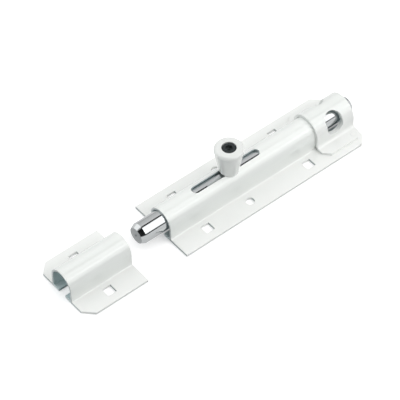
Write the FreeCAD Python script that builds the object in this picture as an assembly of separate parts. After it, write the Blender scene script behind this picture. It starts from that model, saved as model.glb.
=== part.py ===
import FreeCAD, Part
import math
import os

# Door bolt with an arched housing, a round sliding rod, a knob, a padlock saddle and a keeper.
# X runs along the rod, from its nose at -X to its rear end at +X, and Z points away from the door.
# The origin is midway between the two round fixing holes, on the mounting plane.
# All sizes are millimetres.

# Section of the extrusion that the housing and the keeper are cut from
PLATE_WIDTH = 58.0
PLATE_THICKNESS = 2.0
ARCH_RADIUS = 11.0
ARCH_CENTRE_Z = 11.8
ARCH_WALL = 1.5
LIP_GAP = 7.0
FOOT_FILLET = 1.0
INSIDE_FILLET = 0.6
EDGE_ROUNDING = 0.4

# Housing
HOUSING_FRONT_X = -65.6
HOUSING_LENGTH = 169.5
HOUSING_CORNER_CUT = 6.5
SLOT_FRONT_X = -37.3
SLOT_REAR_X = 23.5
SLOT_WIDTH = 6.8

# Fixing holes, in pairs on each side of the arch
HOLE_Y = 19.0
ROUND_HOLE_DIAMETER = 6.5
SQUARE_HOLE_SIDE = 7.3
FRONT_SQUARE_HOLE_X = -38.9
REAR_SQUARE_HOLE_X = 54.9

# Keeper
KEEPER_FRONT_X = -152.5
KEEPER_LENGTH = 52.4
KEEPER_CORNER_CUT = 7.5

# Sliding rod
ROD_DIAMETER = 16.0
ROD_AXIS_Z = 13.0
ROD_NOSE_X = -87.5
ROD_REAR_X = 108.0
ROD_CHAMFER_LENGTH = 3.5
ROD_CHAMFER_DEPTH = 1.7
CENTRE_MARK_RADIUS = 1.3
CENTRE_MARK_DEPTH = 1.1

# Knob
KNOB_X = -3.9
KNOB_TOP_Z = 45.0
KNOB_TOP_RADIUS = 11.26
KNOB_TAPER = 0.18
KNOB_RIM_ROUNDING = 2.2
KNOB_BASE_CLEARANCE = 0.3
KNOB_BORE_DIAMETER = 6.7
HEAD_RECESS_DIAMETER = 10.8
HEAD_RECESS_DEPTH = 6.2

# Shoulder screw that holds the knob on the rod
HEAD_DIAMETER = 10.0
HEAD_HEIGHT = 6.0
HEAD_CHAMFER = 0.5
HEX_SOCKET_ACROSS_FLATS = 5.0
HEX_SOCKET_DEPTH = 3.2
SHOULDER_DIAMETER = 6.3
THREAD_DIAMETER = 5.9
THREAD_LENGTH = 9.5
THREAD_END_CHAMFER = 0.6
TAPPED_HOLE_DIAMETER = 6.0
TAPPED_HOLE_DEPTH = 11.0
SCREW_SEAT_Z = 20.0
SCREW_SEAT_DIAMETER = 8.0

# Padlock saddle, pressed from sheet
SADDLE_CENTRE_X = 85.8
SADDLE_LENGTH = 34.8
SADDLE_THICKNESS = 2.0
SADDLE_INNER_RADIUS = 11.1
SADDLE_CENTRE_Z = 12.0
SADDLE_BEND_RADIUS = 4.5
SADDLE_FLANGE_HALF_WIDTH = 23.7
SADDLE_CORNER_CUT = 5.0

# Padlock hole: a punched obround that follows the sheet from the wall up round the arch
PADLOCK_HOLE_WIDTH = 14.6
PADLOCK_HOLE_LOW_CENTRE_Z = 15.9
PADLOCK_HOLE_HIGH_ANGLE = 54.0

# Flush rivets of the saddle
RIVET_X = 98.0
RIVET_Y = 19.0
RIVET_SHANK_DIAMETER = 3.0
RIVET_HEAD_DIAMETER = 4.6
RIVET_FIT = 0.02

# Reach of the upright cutters, below and above every piece
CUT_BOTTOM_Z = -10.0
CUT_HEIGHT = 80.0

ALONG_X = FreeCAD.Vector(1, 0, 0)
ALONG_Y = FreeCAD.Vector(0, 1, 0)
ALONG_Z = FreeCAD.Vector(0, 0, 1)
ORIGIN = FreeCAD.Vector(0, 0, 0)


def point_yz(y, z):
    return FreeCAD.Vector(0, y, z)


def point_xz(x, z):
    return FreeCAD.Vector(x, 0, z)


def line(start, end):
    return Part.LineSegment(start, end).toShape()


def arc_yz(centre_y, centre_z, radius, start_angle, end_angle):
    """Arc across the rod's axis, with its angles in degrees from +Y towards +Z."""
    points = []
    for angle in (start_angle, (start_angle + end_angle) / 2, end_angle):
        turn = math.radians(angle)
        points.append(point_yz(centre_y + radius * math.cos(turn), centre_z + radius * math.sin(turn)))
    return Part.Arc(*points).toShape()


def chain(points):
    """Closed wire through the points, in order."""
    following = points[1:] + points[:1]
    return Part.Wire([line(start, end) for start, end in zip(points, following)])


def both_sides(half):
    """A solid and its mirror image across the rod's plane, as one solid."""
    return half.fuse(half.mirror(ORIGIN, ALONG_Y)).removeSplitter()


def extrude_along_x(edges, front_x, length):
    """Prism of a closed outline across the rod's axis."""
    face = Part.Face(Part.Wire(edges))
    prism = face.extrude(ALONG_X * length)
    prism.translate(ALONG_X * front_x)
    return prism


def round_cutter(x, y, diameter):
    """Upright cylinder through a piece."""
    return Part.makeCylinder(diameter / 2, CUT_HEIGHT, FreeCAD.Vector(x, y, CUT_BOTTOM_Z))


def square_cutter(x, y, side):
    """Upright square bar through a piece."""
    corner = FreeCAD.Vector(x - side / 2, y - side / 2, CUT_BOTTOM_Z)
    return Part.makeBox(side, side, CUT_HEIGHT, corner)


def plan_outline(front_x, rear_x, half_width, front_cut, rear_cut):
    """Upright prism with the outline seen from above, for trimming a piece's corners."""
    side = []
    if front_cut:
        side.append((front_x, half_width - front_cut))
        side.append((front_x + front_cut, half_width))
    else:
        side.append((front_x, half_width))
    if rear_cut:
        side.append((rear_x - rear_cut, half_width))
        side.append((rear_x, half_width - rear_cut))
    else:
        side.append((rear_x, half_width))
    outline = side + [(x, -y) for x, y in reversed(side)]
    wire = chain([FreeCAD.Vector(x, y, CUT_BOTTOM_Z) for x, y in outline])
    return Part.Face(wire).extrude(ALONG_Z * CUT_HEIGHT)


def extruded_section(front_x, length):
    """Plate with the hollow arch on it and two lips that reach in under the rod."""
    half_width = PLATE_WIDTH / 2
    inner_radius = ARCH_RADIUS - ARCH_WALL
    half_gap = LIP_GAP / 2
    top = PLATE_THICKNESS
    edge_y = half_width - EDGE_ROUNDING
    fillet_y = ARCH_RADIUS + FOOT_FILLET
    corner_y = inner_radius - INSIDE_FILLET
    crown_inside = point_yz(0, ARCH_CENTRE_Z + inner_radius)
    crown_outside = point_yz(0, ARCH_CENTRE_Z + ARCH_RADIUS)
    half = extrude_along_x(
        [
            line(crown_inside, crown_outside),
            arc_yz(0, ARCH_CENTRE_Z, ARCH_RADIUS, 90, 0),
            line(point_yz(ARCH_RADIUS, ARCH_CENTRE_Z), point_yz(ARCH_RADIUS, top + FOOT_FILLET)),
            arc_yz(fillet_y, top + FOOT_FILLET, FOOT_FILLET, 180, 270),
            line(point_yz(fillet_y, top), point_yz(edge_y, top)),
            arc_yz(edge_y, top - EDGE_ROUNDING, EDGE_ROUNDING, 90, 0),
            line(point_yz(half_width, top - EDGE_ROUNDING), point_yz(half_width, EDGE_ROUNDING)),
            arc_yz(edge_y, EDGE_ROUNDING, EDGE_ROUNDING, 0, -90),
            line(point_yz(edge_y, 0), point_yz(half_gap, 0)),
            line(point_yz(half_gap, 0), point_yz(half_gap, top)),
            line(point_yz(half_gap, top), point_yz(corner_y, top)),
            arc_yz(corner_y, top + INSIDE_FILLET, INSIDE_FILLET, 270, 360),
            line(point_yz(inner_radius, top + INSIDE_FILLET), point_yz(inner_radius, ARCH_CENTRE_Z)),
            arc_yz(0, ARCH_CENTRE_Z, inner_radius, 0, 90),
        ],
        front_x,
        length,
    )
    # The two halves meet only along the crown, because the lips stop short of each other.
    return both_sides(half)


def knob_slot():
    """Obround cutter for the slot along the top of the housing."""
    radius = SLOT_WIDTH / 2
    start = FreeCAD.Vector(SLOT_FRONT_X + radius, -radius, ROD_AXIS_Z)
    straight = SLOT_REAR_X - SLOT_FRONT_X - SLOT_WIDTH
    cutter = Part.makeBox(straight, SLOT_WIDTH, CUT_HEIGHT, start)
    for x in (SLOT_FRONT_X + radius, SLOT_REAR_X - radius):
        end = Part.makeCylinder(radius, CUT_HEIGHT, FreeCAD.Vector(x, 0, ROD_AXIS_Z))
        cutter = cutter.fuse(end)
    return cutter


def padlock_hole():
    """Cutters for the hole on both sides: a level bore and one that meets the arch square on."""
    radius = PADLOCK_HOLE_WIDTH / 2
    lean = math.radians(PADLOCK_HOLE_HIGH_ANGLE)
    low_start = FreeCAD.Vector(SADDLE_CENTRE_X, 0, PADLOCK_HOLE_LOW_CENTRE_Z)
    high_start = FreeCAD.Vector(SADDLE_CENTRE_X, 0, SADDLE_CENTRE_Z)
    cutter = None
    for side in (-1, 1):
        level = FreeCAD.Vector(0, side, 0)
        leaning = FreeCAD.Vector(0, side * math.sin(lean), math.cos(lean))
        low = Part.makeCylinder(radius, CUT_HEIGHT, low_start + level * radius, level)
        high = Part.makeCylinder(radius, CUT_HEIGHT, high_start + leaning * radius, leaning)
        pair = low.fuse(high)
        cutter = pair if cutter is None else cutter.fuse(pair)
    return cutter


def rivet(side, extra=0.0):
    """Rivet with a flush countersunk head at each end; extra widens it into a hole cutter."""
    shank = RIVET_SHANK_DIAMETER / 2 + extra
    head = RIVET_HEAD_DIAMETER / 2 + extra
    sink = head - shank
    top = PLATE_THICKNESS + SADDLE_THICKNESS
    outline = [(0, 0), (head, 0), (shank, sink), (shank, top - sink), (head, top), (0, top)]
    wire = chain([point_xz(x, z) for x, z in outline])
    solid = Part.Face(wire).revolve(ORIGIN, ALONG_Z, 360)
    solid.translate(FreeCAD.Vector(RIVET_X, side * RIVET_Y, 0))
    return solid


def housing():
    """Mounting plate and rod channel in one extrusion, with all its holes cut."""
    rear_x = HOUSING_FRONT_X + HOUSING_LENGTH
    body = extruded_section(HOUSING_FRONT_X, HOUSING_LENGTH)
    body = body.common(plan_outline(HOUSING_FRONT_X, rear_x, PLATE_WIDTH / 2, 0, HOUSING_CORNER_CUT))
    cutters = [knob_slot(), padlock_hole()]
    for side in (-1, 1):
        cutters.append(round_cutter(0, side * HOLE_Y, ROUND_HOLE_DIAMETER))
        for x in (FRONT_SQUARE_HOLE_X, REAR_SQUARE_HOLE_X):
            cutters.append(square_cutter(x, side * HOLE_Y, SQUARE_HOLE_SIDE))
        cutters.append(rivet(side, RIVET_FIT))
    return body.cut(cutters)


def keeper():
    """Short length of the same extrusion, fixed to the frame to take the rod's nose."""
    rear_x = KEEPER_FRONT_X + KEEPER_LENGTH
    body = extruded_section(KEEPER_FRONT_X, KEEPER_LENGTH)
    body = body.common(plan_outline(KEEPER_FRONT_X, rear_x, PLATE_WIDTH / 2, KEEPER_CORNER_CUT, 0))
    middle_x = (KEEPER_FRONT_X + rear_x) / 2
    holes = [square_cutter(middle_x, side * HOLE_Y, SQUARE_HOLE_SIDE) for side in (-1, 1)]
    return body.cut(holes)


def padlock_saddle():
    """Sheet bent over the housing's rear end, with flanges on the plate and a hole in each side."""
    outer_radius = SADDLE_INNER_RADIUS + SADDLE_THICKNESS
    bend_y = SADDLE_INNER_RADIUS + SADDLE_BEND_RADIUS
    bend_z = PLATE_THICKNESS + SADDLE_BEND_RADIUS
    bend_top_radius = SADDLE_BEND_RADIUS - SADDLE_THICKNESS
    flange_top = PLATE_THICKNESS + SADDLE_THICKNESS
    flange_y = SADDLE_FLANGE_HALF_WIDTH
    crown_inside = point_yz(0, SADDLE_CENTRE_Z + SADDLE_INNER_RADIUS)
    crown_outside = point_yz(0, SADDLE_CENTRE_Z + outer_radius)
    front_x = SADDLE_CENTRE_X - SADDLE_LENGTH / 2
    rear_x = SADDLE_CENTRE_X + SADDLE_LENGTH / 2
    half = extrude_along_x(
        [
            line(crown_outside, crown_inside),
            arc_yz(0, SADDLE_CENTRE_Z, SADDLE_INNER_RADIUS, 90, 0),
            line(point_yz(SADDLE_INNER_RADIUS, SADDLE_CENTRE_Z), point_yz(SADDLE_INNER_RADIUS, bend_z)),
            arc_yz(bend_y, bend_z, SADDLE_BEND_RADIUS, 180, 270),
            line(point_yz(bend_y, PLATE_THICKNESS), point_yz(flange_y, PLATE_THICKNESS)),
            line(point_yz(flange_y, PLATE_THICKNESS), point_yz(flange_y, flange_top)),
            line(point_yz(flange_y, flange_top), point_yz(bend_y, flange_top)),
            arc_yz(bend_y, bend_z, bend_top_radius, 270, 180),
            line(point_yz(outer_radius, bend_z), point_yz(outer_radius, SADDLE_CENTRE_Z)),
            arc_yz(0, SADDLE_CENTRE_Z, outer_radius, 0, 90),
        ],
        front_x,
        SADDLE_LENGTH,
    )
    sheet = both_sides(half)
    sheet = sheet.common(plan_outline(front_x, rear_x, flange_y, SADDLE_CORNER_CUT, SADDLE_CORNER_CUT))
    return sheet.cut([padlock_hole(), rivet(-1, RIVET_FIT), rivet(1, RIVET_FIT)])


def saddle_rivets():
    """The two rivets that hold the saddle's flanges to the plate."""
    return Part.makeCompound([rivet(-1), rivet(1)])


def bolt_rod():
    """Turned rod with both ends chamfered, and a seat and a tapped hole for the knob's screw."""
    radius = ROD_DIAMETER / 2
    face_radius = radius - ROD_CHAMFER_DEPTH
    outline = [
        point_xz(ROD_NOSE_X + CENTRE_MARK_DEPTH, 0),
        point_xz(ROD_NOSE_X, CENTRE_MARK_RADIUS),
        point_xz(ROD_NOSE_X, face_radius),
        point_xz(ROD_NOSE_X + ROD_CHAMFER_LENGTH, radius),
        point_xz(ROD_REAR_X - ROD_CHAMFER_LENGTH, radius),
        point_xz(ROD_REAR_X, face_radius),
        point_xz(ROD_REAR_X, 0),
    ]
    rod = Part.Face(chain(outline)).revolve(ORIGIN, ALONG_X, 360)
    rod.translate(ALONG_Z * ROD_AXIS_Z)
    seat = FreeCAD.Vector(KNOB_X, 0, SCREW_SEAT_Z)
    spot_face = Part.makeCylinder(SCREW_SEAT_DIAMETER / 2, radius, seat)
    tapped_hole = Part.makeCylinder(TAPPED_HOLE_DIAMETER / 2, TAPPED_HOLE_DEPTH, seat, ALONG_Z * -1)
    return rod.cut([spot_face, tapped_hole])


def knob():
    """Tapered knob whose foot is hollowed to ride over the arch, bored for its screw."""
    foot_z = ARCH_CENTRE_Z + ARCH_RADIUS / 2
    foot_radius = KNOB_TOP_RADIUS - KNOB_TAPER * (KNOB_TOP_Z - foot_z)
    outline = [
        point_xz(0, foot_z),
        point_xz(foot_radius, foot_z),
        point_xz(KNOB_TOP_RADIUS, KNOB_TOP_Z),
        point_xz(0, KNOB_TOP_Z),
    ]
    body = Part.Face(chain(outline)).revolve(ORIGIN, ALONG_Z, 360)
    rim = max(body.Edges, key=lambda edge: edge.CenterOfMass.z)
    body = body.makeFillet(KNOB_RIM_ROUNDING, [rim])
    body.translate(ALONG_X * KNOB_X)
    saddle_radius = ARCH_RADIUS + KNOB_BASE_CLEARANCE
    saddle_start = FreeCAD.Vector(KNOB_X - KNOB_TOP_RADIUS, 0, ARCH_CENTRE_Z)
    arch = Part.makeCylinder(saddle_radius, 2 * KNOB_TOP_RADIUS, saddle_start, ALONG_X)
    recess_floor = FreeCAD.Vector(KNOB_X, 0, KNOB_TOP_Z - HEAD_RECESS_DEPTH)
    recess = Part.makeCylinder(HEAD_RECESS_DIAMETER / 2, CUT_HEIGHT, recess_floor)
    bore = round_cutter(KNOB_X, 0, KNOB_BORE_DIAMETER)
    return body.cut([arch, recess, bore])


def hex_prism(across_flats, height, base):
    """Upright hexagonal prism on a base point."""
    corner_radius = across_flats / math.sqrt(3)
    corners = []
    for step in range(6):
        turn = math.radians(60 * step)
        reach = FreeCAD.Vector(math.cos(turn), math.sin(turn), 0) * corner_radius
        corners.append(base + reach)
    return Part.Face(chain(corners)).extrude(ALONG_Z * height)


def knob_screw():
    """Socket-head shoulder screw: head in the knob, shoulder through the slot, thread in the rod."""
    head_z = KNOB_TOP_Z - HEAD_RECESS_DEPTH
    head_top = head_z + HEAD_HEIGHT
    head_radius = HEAD_DIAMETER / 2
    shoulder_radius = SHOULDER_DIAMETER / 2
    thread_radius = THREAD_DIAMETER / 2
    thread_end = SCREW_SEAT_Z - THREAD_LENGTH
    outline = [
        point_xz(0, thread_end),
        point_xz(thread_radius - THREAD_END_CHAMFER, thread_end),
        point_xz(thread_radius, thread_end + THREAD_END_CHAMFER),
        point_xz(thread_radius, SCREW_SEAT_Z),
        point_xz(shoulder_radius, SCREW_SEAT_Z),
        point_xz(shoulder_radius, head_z),
        point_xz(head_radius, head_z),
        point_xz(head_radius, head_top - HEAD_CHAMFER),
        point_xz(head_radius - HEAD_CHAMFER, head_top),
        point_xz(0, head_top),
    ]
    body = Part.Face(chain(outline)).revolve(ORIGIN, ALONG_Z, 360)
    socket_floor = ALONG_Z * (head_top - HEX_SOCKET_DEPTH)
    socket = hex_prism(HEX_SOCKET_ACROSS_FLATS, HEAD_HEIGHT, socket_floor)
    screw = body.cut(socket)
    screw.translate(ALONG_X * KNOB_X)
    return screw


os.makedirs("parts", exist_ok=True)
for make_piece in (housing, keeper, padlock_saddle, saddle_rivets, bolt_rod, knob, knob_screw):
    piece = make_piece()
    piece.exportStep("parts/" + make_piece.__name__ + ".step")
    print(make_piece.__name__, len(piece.Solids), piece.isValid(), round(piece.Volume))
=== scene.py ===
"""Looks of a white door bolt: coated housing, keeper, saddle and knob, a plated rod and a black screw."""

import math

import bpy
from mathutils import Matrix, Vector


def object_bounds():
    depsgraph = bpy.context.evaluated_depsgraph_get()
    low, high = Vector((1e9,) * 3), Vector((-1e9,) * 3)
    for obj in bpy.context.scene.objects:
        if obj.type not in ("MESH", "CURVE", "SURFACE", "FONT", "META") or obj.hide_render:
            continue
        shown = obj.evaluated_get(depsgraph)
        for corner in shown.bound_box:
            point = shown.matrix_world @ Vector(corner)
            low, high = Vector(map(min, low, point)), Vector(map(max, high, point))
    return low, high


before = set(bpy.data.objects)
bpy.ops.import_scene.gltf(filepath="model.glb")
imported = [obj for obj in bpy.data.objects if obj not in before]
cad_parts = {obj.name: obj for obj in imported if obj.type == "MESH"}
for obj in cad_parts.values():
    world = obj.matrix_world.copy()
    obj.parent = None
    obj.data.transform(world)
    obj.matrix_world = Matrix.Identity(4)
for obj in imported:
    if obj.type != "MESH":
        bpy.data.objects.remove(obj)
cad_low, cad_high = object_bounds()

# Camera of the photograph, in metres and degrees
IMAGE_SIDE_PX = 400
FOCAL_LENGTH_PX = 2265.8
SENSOR_WIDTH_MM = 36.0
CAMERA_AZIMUTH = -39.204
CAMERA_ELEVATION = 49.263
CAMERA_ROLL = -0.321
CAMERA_DISTANCE = 1.6066
CAMERA_TARGET = Vector((-0.02563, 0.00562, 0.0))

# Softboxes as name, along, around, distance and size in metres, and power in watts. Along is the part of the
# direction along the rod, and around its turn about the rod, in degrees from straight up towards the near side (-Y).
# The key shows in the rod as its white band, its brighter core draws the streak along the arch's shoulder,
# and the nose's chamfer shows the fill.
SOFTBOXES = (
    ("key", 0.41, 36.0, 1.2, (1.7, 1.56), 15.0),
    ("key_core", 0.41, 40.0, 1.15, (1.7, 0.16), 1.8),
    ("fill", -0.45, -42.0, 1.4, (2.4, 1.8), 6.6),
)

# Screens around the rod, in the same directions and at a radius in metres: a dark one behind the key,
# and a grey one that glows more towards its top
SCREEN_RADIUS = 2.6
DARK_SIDE_ALONG = (-0.66, 0.97)
DARK_SIDE_AROUND = (-15.0, 84.0)
DARK_SIDE_COLOR = (0.05, 0.05, 0.052, 1)
GREY_SIDE_ALONG = (0.0, 0.97)
GREY_SIDE_AROUND = (-120.0, -15.0)
GREY_SIDE_GLOW = (0.57, 0.88)
GREY_SIDE_TOP = 0.8 * SCREEN_RADIUS
SCREEN_STEPS = 24

# World light
WORLD_FILL = (0.84, 0.865, 0.87, 1)

# Half the floor's side in metres, and its colours: as the camera sees it, as the object mirrors it,
# and as it lights the object from the open floor and from inside the fixing holes
FLOOR_HALF_SIZE = 8.0
FLOOR_SEEN = (0.70, 0.70, 0.70)
FLOOR_MIRRORED = (0.37, 0.37, 0.37)
FLOOR_BOUNCE = (0.208, 0.228, 0.230)
FLOOR_IN_HOLES = (0.90, 0.90, 0.90)

# The floor's glow close under the object and in the open, the share of open sky that counts as open,
# and how far the object shades it, in millimetres
FLOOR_GLOW = (0.2, 0.55)
FLOOR_OPEN_SHARE = 0.8
FLOOR_SHADE_REACH = 12.0

# Tones of the coat: its two patch tones, the painted shade that greys the extrusion, the saddle and the knob from a
# height up, then where it is worn, its dust and painted shade in corners, its sawn ends with painted shade, and the
# painted shade on the thin coat in the channel and on the cut walls
COAT_TONES = ((0.890, 0.903, 0.880), (0.902, 0.913, 0.892))
PAINTED_SHADE_EXTRUSION_TONE = (0.848, 0.871, 0.845)
PAINTED_SHADE_SADDLE_TONE = (0.815, 0.838, 0.812)
PAINTED_SHADE_KNOB_TONE = (0.775, 0.79, 0.77)
WORN_TONE = (0.80, 0.815, 0.81)
DUST_AND_SHADE_TONE = (0.60, 0.65, 0.65)
SAWN_AND_SHADE_TONE = (0.53, 0.575, 0.575)
CHANNEL_SHADE_TONE = (0.74, 0.85, 0.86)
CUT_WALL_SHADE_TONE = (0.42, 0.50, 0.51)

# Tones of the rod's side and end faces, and of the screw, its rubbed edges and the painted light in its inside
# corners
ROD_TONES = ((0.53, 0.55, 0.557), (0.575, 0.592, 0.597))
ROD_END_TONE = (0.36, 0.375, 0.38)
SCREW_TONES = ((0.021, 0.026, 0.028), (0.030, 0.036, 0.038))
SCREW_WORN_TONE = (0.06, 0.065, 0.07)
SCREW_CORNER_LIGHT_TONE = (0.15, 0.17, 0.17)

# Places on the object, in millimetres: the arch's axis and wall, and the stretch with openings in the arch
ARCH_AXIS_Z = 11.8
ARCH_INNER_RADIUS = 9.5
ARCH_WALL_MIDDLE = 10.25
ARCH_WALL_HALF = 0.75
OPENINGS_MIDDLE_X = 20.0
OPENINGS_HALF_LENGTH = 80.0

# The rod's axis and the radius of its end faces
ROD_AXIS_Z = 13.0
ROD_END_RADIUS = 6.2

# The plates of the keeper and the housing together, the gap between them, and the arch over their middle
PLATES_MIDDLE_X = -24.3
PLATES_HALF_LENGTH = 128.2
PLATES_HALF_WIDTH = 28.5
GAP_MIDDLE_X = -82.9
GAP_HALF_LENGTH = 17.2
ARCH_HALF_WIDTH = 13.0

MM = 1000.0


def direction_from(azimuth, elevation):
    """Unit vector towards a viewer at that azimuth and elevation, in degrees."""
    turn, lift = math.radians(azimuth), math.radians(elevation)
    return Vector((math.sin(turn) * math.cos(lift), -math.cos(turn) * math.cos(lift), math.sin(lift)))


def direction_around(along, around):
    """Unit vector given by its part along the rod and its angle around it."""
    turn = math.radians(around)
    across = math.sqrt(1 - along * along)
    return Vector((along, -across * math.sin(turn), across * math.cos(turn)))


def link_object(name, data):
    """New object with its data, in the scene."""
    made = bpy.data.objects.new(name, data)
    bpy.context.scene.collection.objects.link(made)
    return made


def placed(right, up, back, place):
    """World matrix of a camera or lamp, which looks along minus its back vector."""
    turned = Matrix((right, up, back)).transposed().to_4x4()
    return Matrix.Translation(place) @ turned


class Shading:
    """Node tree of one material, with scales, depths and reaches in millimetres of the object."""

    def __init__(self, name, metallic=0.0):
        self.material = bpy.data.materials.new(name)
        self.material.use_nodes = True
        self.tree = self.material.node_tree
        self.shader = self.tree.nodes["Principled BSDF"]
        self.shader.inputs["Metallic"].default_value = metallic
        coordinates = self.tree.nodes.new("ShaderNodeTexCoord")
        self.place = coordinates.outputs["Object"]
        self.facing = coordinates.outputs["Normal"]

    def set(self, socket, value):
        """Value of one socket of the shader."""
        self.shader.inputs[socket].default_value = value

    def link(self, source, target):
        self.tree.links.new(source, target)

    def scaled(self, scale, shift=(0, 0, 0)):
        """Object coordinates times a scale per millimetre, on each axis."""
        mapping = self.tree.nodes.new("ShaderNodeMapping")
        mapping.inputs["Scale"].default_value = [MM * part for part in scale]
        mapping.inputs["Location"].default_value = shift
        self.link(self.place, mapping.inputs["Vector"])
        return mapping.outputs["Vector"]

    def noise(self, scale, detail=2.0, roughness=0.5, shift=(0, 0, 0)):
        """Noise from nought to one, at a scale per millimetre on each axis."""
        noise = self.tree.nodes.new("ShaderNodeTexNoise")
        noise.inputs["Scale"].default_value = 1.0
        noise.inputs["Detail"].default_value = detail
        noise.inputs["Roughness"].default_value = roughness
        self.link(self.scaled(scale, shift), noise.inputs["Vector"])
        return noise.outputs["Fac"]

    def ranged(self, source, low, high, to_low, to_high):
        """Part of a range of values stretched over another range."""
        spread = self.tree.nodes.new("ShaderNodeMapRange")
        for socket, value in (("From Min", low), ("From Max", high), ("To Min", to_low), ("To Max", to_high)):
            spread.inputs[socket].default_value = value
        self.link(source, spread.inputs["Value"])
        return spread.outputs["Result"]

    def math(self, operation, first, second):
        """Result of one sum on two values, each a number or another node's output."""
        step = self.tree.nodes.new("ShaderNodeMath")
        step.operation = operation
        for socket, value in zip(step.inputs, (first, second)):
            if isinstance(value, float):
                socket.default_value = value
            else:
                self.link(value, socket)
        return step.outputs[0]

    def mixed(self, factor, first, second):
        """Two colours mixed by a factor."""
        mix = self.tree.nodes.new("ShaderNodeMix")
        mix.data_type = "RGBA"
        self.link(factor, mix.inputs["Factor"])
        for socket, value in ((mix.inputs["A"], first), (mix.inputs["B"], second)):
            if isinstance(value, tuple):
                socket.default_value = (*value, 1)
            else:
                self.link(value, socket)
        return mix.outputs["Result"]

    def opposite(self, share):
        """One minus a share."""
        return self.math("SUBTRACT", 1.0, share)

    def within(self, source, middle, half):
        """One where a value is less than a half range from the middle, and nought elsewhere."""
        return self.math("LESS_THAN", self.math("ABSOLUTE", self.math("SUBTRACT", source, middle), 0.0), half)

    def soft_edges(self, radius_mm):
        """Normal with the corners rounded off."""
        bevel = self.tree.nodes.new("ShaderNodeBevel")
        bevel.samples = 6
        bevel.inputs["Radius"].default_value = radius_mm / MM
        return bevel.outputs["Normal"]

    def edge_mask(self, soft_normal):
        """Grows from nought on flat faces to one at sharp edges."""
        geometry = self.tree.nodes.new("ShaderNodeNewGeometry")
        dot = self.tree.nodes.new("ShaderNodeVectorMath")
        dot.operation = "DOT_PRODUCT"
        self.link(soft_normal, dot.inputs[0])
        self.link(geometry.outputs["Normal"], dot.inputs[1])
        return self.ranged(dot.outputs["Value"], 0.97, 0.78, 0.0, 1.0)

    def open_share(self, reach_mm, samples, own_only):
        """Share of open sky above a point, with what shades it no further away than a reach."""
        occlusion = self.tree.nodes.new("ShaderNodeAmbientOcclusion")
        occlusion.samples = samples
        occlusion.only_local = own_only
        occlusion.inputs["Distance"].default_value = reach_mm / MM
        return occlusion.outputs["AO"]

    def crevice_mask(self, reach_mm):
        """Grows from nought on open faces to one in inside corners."""
        return self.ranged(self.open_share(reach_mm, 6, True), 0.9, 0.35, 0.0, 1.0)

    def part_along(self, vector, axis):
        """One part of a vector."""
        split = self.tree.nodes.new("ShaderNodeSeparateXYZ")
        self.link(vector, split.inputs[0])
        return split.outputs[axis]

    def axis_distance(self, axis_z, upper_only=False):
        """Distance in millimetres from the line along X at a height.

        With upper_only, what lies below that height has only its distance across.
        """
        place = self.scaled((1, 1, 1))
        rise = self.math("SUBTRACT", self.part_along(place, "Z"), axis_z)
        if upper_only:
            rise = self.math("MAXIMUM", rise, 0.0)
        squares = [self.math("POWER", part, 2.0) for part in (self.part_along(place, "Y"), rise)]
        return self.math("POWER", self.math("ADD", *squares), 0.5)

    def bump(self, height, depth_mm, normal=None):
        """Relief of a height map over a normal."""
        bump = self.tree.nodes.new("ShaderNodeBump")
        bump.inputs["Strength"].default_value = 1.0
        bump.inputs["Distance"].default_value = depth_mm / MM
        self.link(height, bump.inputs["Height"])
        if normal is not None:
            self.link(normal, bump.inputs["Normal"])
        return bump.outputs["Normal"]


# Studio

def add_camera():
    """Camera placed, aimed and rolled as the photograph's."""
    back = direction_from(CAMERA_AZIMUTH, CAMERA_ELEVATION)
    turn, roll = math.radians(CAMERA_AZIMUTH), math.radians(CAMERA_ROLL)
    level_right = Vector((math.cos(turn), math.sin(turn), 0))
    level_up = back.cross(level_right)
    right = level_right * math.cos(roll) + level_up * math.sin(roll)
    up = level_up * math.cos(roll) - level_right * math.sin(roll)
    data = bpy.data.cameras.new("photo_camera")
    data.sensor_fit = "HORIZONTAL"
    data.sensor_width = SENSOR_WIDTH_MM
    data.lens = FOCAL_LENGTH_PX * SENSOR_WIDTH_MM / IMAGE_SIDE_PX
    data.clip_start = 0.05
    data.clip_end = 20
    camera = link_object("photo_camera", data)
    camera.matrix_world = placed(right, up, back, CAMERA_TARGET + back * CAMERA_DISTANCE)
    bpy.context.scene.camera = camera


def add_softbox(name, along, around, distance, size, power):
    """Rectangular lamp in a direction from the rod, with its short side around the rod."""
    back = direction_around(along, around)
    turn = math.radians(around)
    short_side = Vector((0, -math.cos(turn), -math.sin(turn)))
    data = bpy.data.lights.new(name, "AREA")
    data.shape = "RECTANGLE"
    data.size, data.size_y = size
    data.energy = power
    lamp = link_object(name, data)
    lamp.matrix_world = placed(short_side.cross(back), short_side, back, back * distance)
    lamp.visible_camera = False


def add_screen(name, along_range, around_range):
    """Curved screen that spans a range of directions from the rod. Gives back its shading."""
    corners, faces = [], []
    for row in range(SCREEN_STEPS + 1):
        around = around_range[0] + (around_range[1] - around_range[0]) * row / SCREEN_STEPS
        for column in range(SCREEN_STEPS + 1):
            along = along_range[0] + (along_range[1] - along_range[0]) * column / SCREEN_STEPS
            corners.append(direction_around(along, around) * SCREEN_RADIUS)
    for row in range(SCREEN_STEPS):
        for column in range(SCREEN_STEPS):
            first = row * (SCREEN_STEPS + 1) + column
            above = first + SCREEN_STEPS + 1
            faces.append((first, first + 1, above + 1, above))
    mesh = bpy.data.meshes.new(name)
    mesh.from_pydata(corners, [], faces)
    screen = link_object(name, mesh)
    screen.visible_camera = False
    look = Shading(name)
    mesh.materials.append(look.material)
    return look


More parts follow.
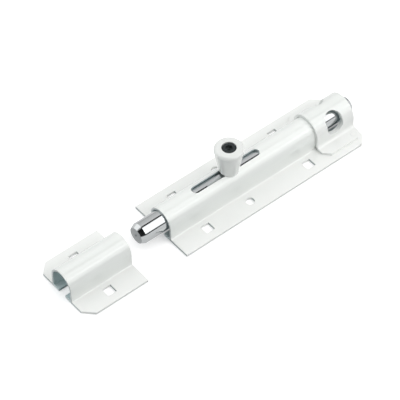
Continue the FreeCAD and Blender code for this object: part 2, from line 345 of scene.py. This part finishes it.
def add_screens():
    """Dark screen on the near side, and a grey one on the far side that brightens upwards."""
    dark = add_screen("dark_side", DARK_SIDE_ALONG, DARK_SIDE_AROUND)
    dark.set("Base Color", DARK_SIDE_COLOR)
    dark.set("Roughness", 1.0)
    grey = add_screen("grey_side", GREY_SIDE_ALONG, GREY_SIDE_AROUND)
    grey.set("Base Color", (0, 0, 0, 1))
    grey.set("Specular IOR Level", 0.0)
    grey.set("Emission Color", (1, 1, 1, 1))
    glow = grey.ranged(grey.part_along(grey.place, "Z"), 0.0, GREY_SIDE_TOP, *GREY_SIDE_GLOW)
    grey.link(glow, grey.shader.inputs["Emission Strength"])


def background_rays(tree):
    """One where the camera, a gloss or a glass looks at the background, and nought for lighting."""
    path = tree.nodes.new("ShaderNodeLightPath")
    seen = path.outputs["Is Camera Ray"]
    for other in ("Is Glossy Ray", "Is Transmission Ray"):
        either = tree.nodes.new("ShaderNodeMath")
        either.operation = "MAXIMUM"
        tree.links.new(seen, either.inputs[0])
        tree.links.new(path.outputs[other], either.inputs[1])
        seen = either.outputs[0]
    return seen


def add_world():
    """White surroundings that light the object more softly than they look."""
    world = bpy.data.worlds.new("studio")
    world.use_nodes = True
    bpy.context.scene.world = world
    tree = world.node_tree
    light = tree.nodes.new("ShaderNodeMix")
    light.data_type = "RGBA"
    light.inputs["A"].default_value = WORLD_FILL
    light.inputs["B"].default_value = (1, 1, 1, 1)
    tree.links.new(background_rays(tree), light.inputs["Factor"])
    background = tree.nodes["Background"]
    background.inputs["Strength"].default_value = 1.0
    tree.links.new(light.outputs["Result"], background.inputs["Color"])


def under_plates(look):
    """Two masks of the floor: under the whole object, and beside its arch, where only the fixing holes show it."""
    place = look.scaled((1, 1, 1))
    along, across = look.part_along(place, "X"), look.part_along(place, "Y")
    covered = look.math("MULTIPLY", look.within(across, 0.0, PLATES_HALF_WIDTH),
                        look.within(along, PLATES_MIDDLE_X, PLATES_HALF_LENGTH))
    covered = look.math("MULTIPLY", covered, look.opposite(look.within(along, GAP_MIDDLE_X, GAP_HALF_LENGTH)))
    in_holes = look.math("MULTIPLY", covered, look.opposite(look.within(across, 0.0, ARCH_HALF_WIDTH)))
    return covered, in_holes


def add_floor():
    """White floor that takes the object's shadow, and looks dark where the coat mirrors the fixing holes."""
    size = FLOOR_HALF_SIZE
    mesh = bpy.data.meshes.new("floor")
    mesh.from_pydata([(-size, -size, 0), (size, -size, 0), (size, size, 0), (-size, size, 0)], [], [(0, 1, 2, 3)])
    floor = link_object("floor", mesh)
    floor.location.z = cad_low[2]
    look = Shading("floor")
    seen = background_rays(look.tree)
    by_camera = look.tree.nodes.new("ShaderNodeLightPath").outputs["Is Camera Ray"]
    covered, in_holes = under_plates(look)
    bounce = look.mixed(in_holes, FLOOR_BOUNCE, FLOOR_IN_HOLES)
    color = look.mixed(by_camera, look.mixed(seen, bounce, FLOOR_MIRRORED), FLOOR_SEEN)
    look.link(color, look.shader.inputs["Base Color"])
    open_share = look.open_share(FLOOR_SHADE_REACH, 8, False)
    glow = look.ranged(open_share, 0.0, FLOOR_OPEN_SHARE, *FLOOR_GLOW)
    glowing = look.math("MAXIMUM", look.opposite(covered), by_camera)
    glow = look.math("MULTIPLY", look.math("MULTIPLY", glow, glowing), seen)
    look.link(glow, look.shader.inputs["Emission Strength"])
    look.set("Emission Color", (1, 1, 1, 1))
    look.set("Roughness", 1.0)
    look.set("Specular IOR Level", 0.0)
    mesh.materials.append(look.material)


# Materials

def coating(name, roughness, shift, shade_from, shade_color, extruded=False):
    """Glossy white powder coat with orange peel, faint patches, dust and painted shade in its corners, and worn
    edges.

    It is greyer from a height in millimetres up, as painted shade. An extrusion has drawn lines, sawn ends
    greyer with painted shade, and painted shade on a thin coat inside its channel and on the walls of the openings
    cut through its arch, where they do not face up.
    """
    look = Shading(name)
    soft = look.soft_edges(0.35)
    patches = look.noise((0.03, 0.05, 0.05), 3.0, 0.55, shift)
    color = look.mixed(look.ranged(patches, 0.3, 0.7, 0.0, 1.0), *COAT_TONES)
    place = look.scaled((1, 1, 1))
    # Painted shade: the coat turns greyer from a height up
    shade_above = look.ranged(look.part_along(place, "Z"), shade_from, shade_from + 2.0, 0.0, 1.0)
    color = look.mixed(shade_above, color, shade_color)
    grain = look.noise((0.9, 0.9, 0.9), 4.0, 0.6, shift)
    wear = look.math("MULTIPLY", look.edge_mask(soft), look.ranged(grain, 0.35, 0.65, 0.1, 0.6))
    color = look.mixed(wear, color, WORN_TONE)
    # Dust and painted shade: a darker blue-grey tone in inside corners, found by occlusion
    dust_and_shade = look.math("MULTIPLY", look.crevice_mask(2.5), look.ranged(patches, 0.2, 0.8, 0.03, 0.18))
    color = look.mixed(dust_and_shade, color, DUST_AND_SHADE_TONE)
    normal = look.bump(look.noise((0.3, 0.3, 0.3), 2.0, 0.5, shift), 0.007, soft)
    if extruded:
        # Sawn ends with painted shade: faces turned along the rod are darker and blue-grey
        sawn_and_shade = look.ranged(look.math("ABSOLUTE", look.part_along(look.facing, "X"), 0.0), 0.75, 0.95, 0.0, 1.0)
        color = look.mixed(sawn_and_shade, color, SAWN_AND_SHADE_TONE)
        from_axis = look.axis_distance(ARCH_AXIS_Z, upper_only=True)
        # Thin coat with painted shade: darker and blue-grey inside the channel
        inside = look.ranged(from_axis, ARCH_INNER_RADIUS + 0.05, ARCH_INNER_RADIUS + 0.1, 1.0, 0.0)
        color = look.mixed(inside, color, CHANNEL_SHADE_TONE)
        # Painted shade: the walls of the openings cut through the arch are dark blue-grey where they do not face up
        off_middle = look.math("ABSOLUTE", look.math("SUBTRACT", from_axis, ARCH_WALL_MIDDLE), 0.0)
        in_wall = look.ranged(off_middle, ARCH_WALL_HALF - 0.1, ARCH_WALL_HALF - 0.05, 1.0, 0.0)
        along = look.math("SUBTRACT", look.part_along(place, "X"), OPENINGS_MIDDLE_X)
        off_openings = look.math("ABSOLUTE", along, 0.0)
        between_ends = look.ranged(off_openings, OPENINGS_HALF_LENGTH, OPENINGS_HALF_LENGTH + 0.5, 1.0, 0.0)
        shaded = look.ranged(look.part_along(look.facing, "Z"), 0.05, 0.35, 1.0, 0.0)
        cut_wall_shade = look.math("MULTIPLY", look.math("MULTIPLY", in_wall, between_ends), shaded)
        color = look.mixed(cut_wall_shade, color, CUT_WALL_SHADE_TONE)
        normal = look.bump(look.noise((0.006, 0.5, 0.5), 2.0, 0.5, shift), 0.008, normal)
    look.link(color, look.shader.inputs["Base Color"])
    sheen = look.math("ADD", look.math("MULTIPLY", patches, 0.12), look.math("MULTIPLY", grain, 0.015))
    look.link(look.ranged(sheen, 0.02, 0.11, roughness - 0.03, roughness + 0.04), look.shader.inputs["Roughness"])
    look.set("Specular IOR Level", 0.2)
    look.set("Coat Weight", 1.0)
    look.set("Coat IOR", 1.65)
    look.set("Coat Roughness", 0.05)
    look.link(normal, look.shader.inputs["Normal"])
    return look.material


def plated_rod():
    """Bright plated bar with fine ground lines around it and a few handling marks."""
    look = Shading("plated_rod", metallic=1.0)
    smudge = look.noise((0.05, 0.12, 0.12), 4.0, 0.6)
    color = look.mixed(look.ranged(smudge, 0.3, 0.7, 0.0, 1.0), *ROD_TONES)
    end_face = look.ranged(look.axis_distance(ROD_AXIS_Z), ROD_END_RADIUS, ROD_END_RADIUS + 0.15, 1.0, 0.0)
    color = look.mixed(end_face, color, ROD_END_TONE)
    look.link(color, look.shader.inputs["Base Color"])
    ground = look.ranged(smudge, 0.35, 0.75, 0.06, 0.13)
    look.link(look.math("ADD", ground, look.math("MULTIPLY", end_face, 0.22)), look.shader.inputs["Roughness"])
    soft = look.soft_edges(0.15)
    lines = look.noise((9.0, 0.25, 0.25), 2.0, 0.6)
    look.link(look.bump(lines, 0.0006, soft), look.shader.inputs["Normal"])
    return look.material


def black_screw():
    """Blackened steel with a fine grain, lighter rubbed edges, and painted light that greys its inside corners."""
    look = Shading("black_screw")
    soft = look.soft_edges(0.2)
    grain = look.noise((1.5, 1.5, 1.5), 4.0, 0.6)
    wear = look.math("MULTIPLY", look.edge_mask(soft), look.ranged(grain, 0.35, 0.65, 0.2, 0.9))
    color = look.mixed(look.ranged(grain, 0.3, 0.7, 0.0, 1.0), *SCREW_TONES)
    color = look.mixed(wear, color, SCREW_WORN_TONE)
    # Painted light: the screw's inside corners, such as its socket, are lighter grey
    color = look.mixed(look.crevice_mask(2.0), color, SCREW_CORNER_LIGHT_TONE)
    look.link(color, look.shader.inputs["Base Color"])
    look.link(look.ranged(grain, 0.3, 0.7, 0.34, 0.46), look.shader.inputs["Roughness"])
    look.set("Specular IOR Level", 0.2)
    look.link(look.bump(look.noise((2.2, 2.2, 2.2), 3.0, 0.5), 0.01, soft), look.shader.inputs["Normal"])
    return look.material


def dress_nodes():
    """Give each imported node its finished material."""
    # Each coat is painted greyer from a height up, as shade
    extrusion = coating("white_extrusion", roughness=0.32, shift=(0, 0, 0),
                        shade_from=3.0, shade_color=PAINTED_SHADE_EXTRUSION_TONE, extruded=True)
    pressing = coating("white_pressing", roughness=0.32, shift=(7.1, 3.3, 1.9),
                       shade_from=20.0, shade_color=PAINTED_SHADE_SADDLE_TONE)
    handle = coating("white_knob", roughness=0.22, shift=(2.4, 8.7, 5.5),
                     shade_from=42.5, shade_color=PAINTED_SHADE_KNOB_TONE)
    finishes = {
        "housing": extrusion,
        "keeper": extrusion,
        "padlock_saddle": pressing,
        "saddle_rivets": pressing,
        "knob": handle,
        "bolt_rod": plated_rod(),
        "knob_screw": black_screw(),
    }
    for node, material in finishes.items():
        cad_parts[node].material_slots[0].material = material


add_camera()
for softbox in SOFTBOXES:
    add_softbox(*softbox)
add_screens()
add_world()
add_floor()
dress_nodes()
bpy.context.scene.view_settings.view_transform = "Standard"
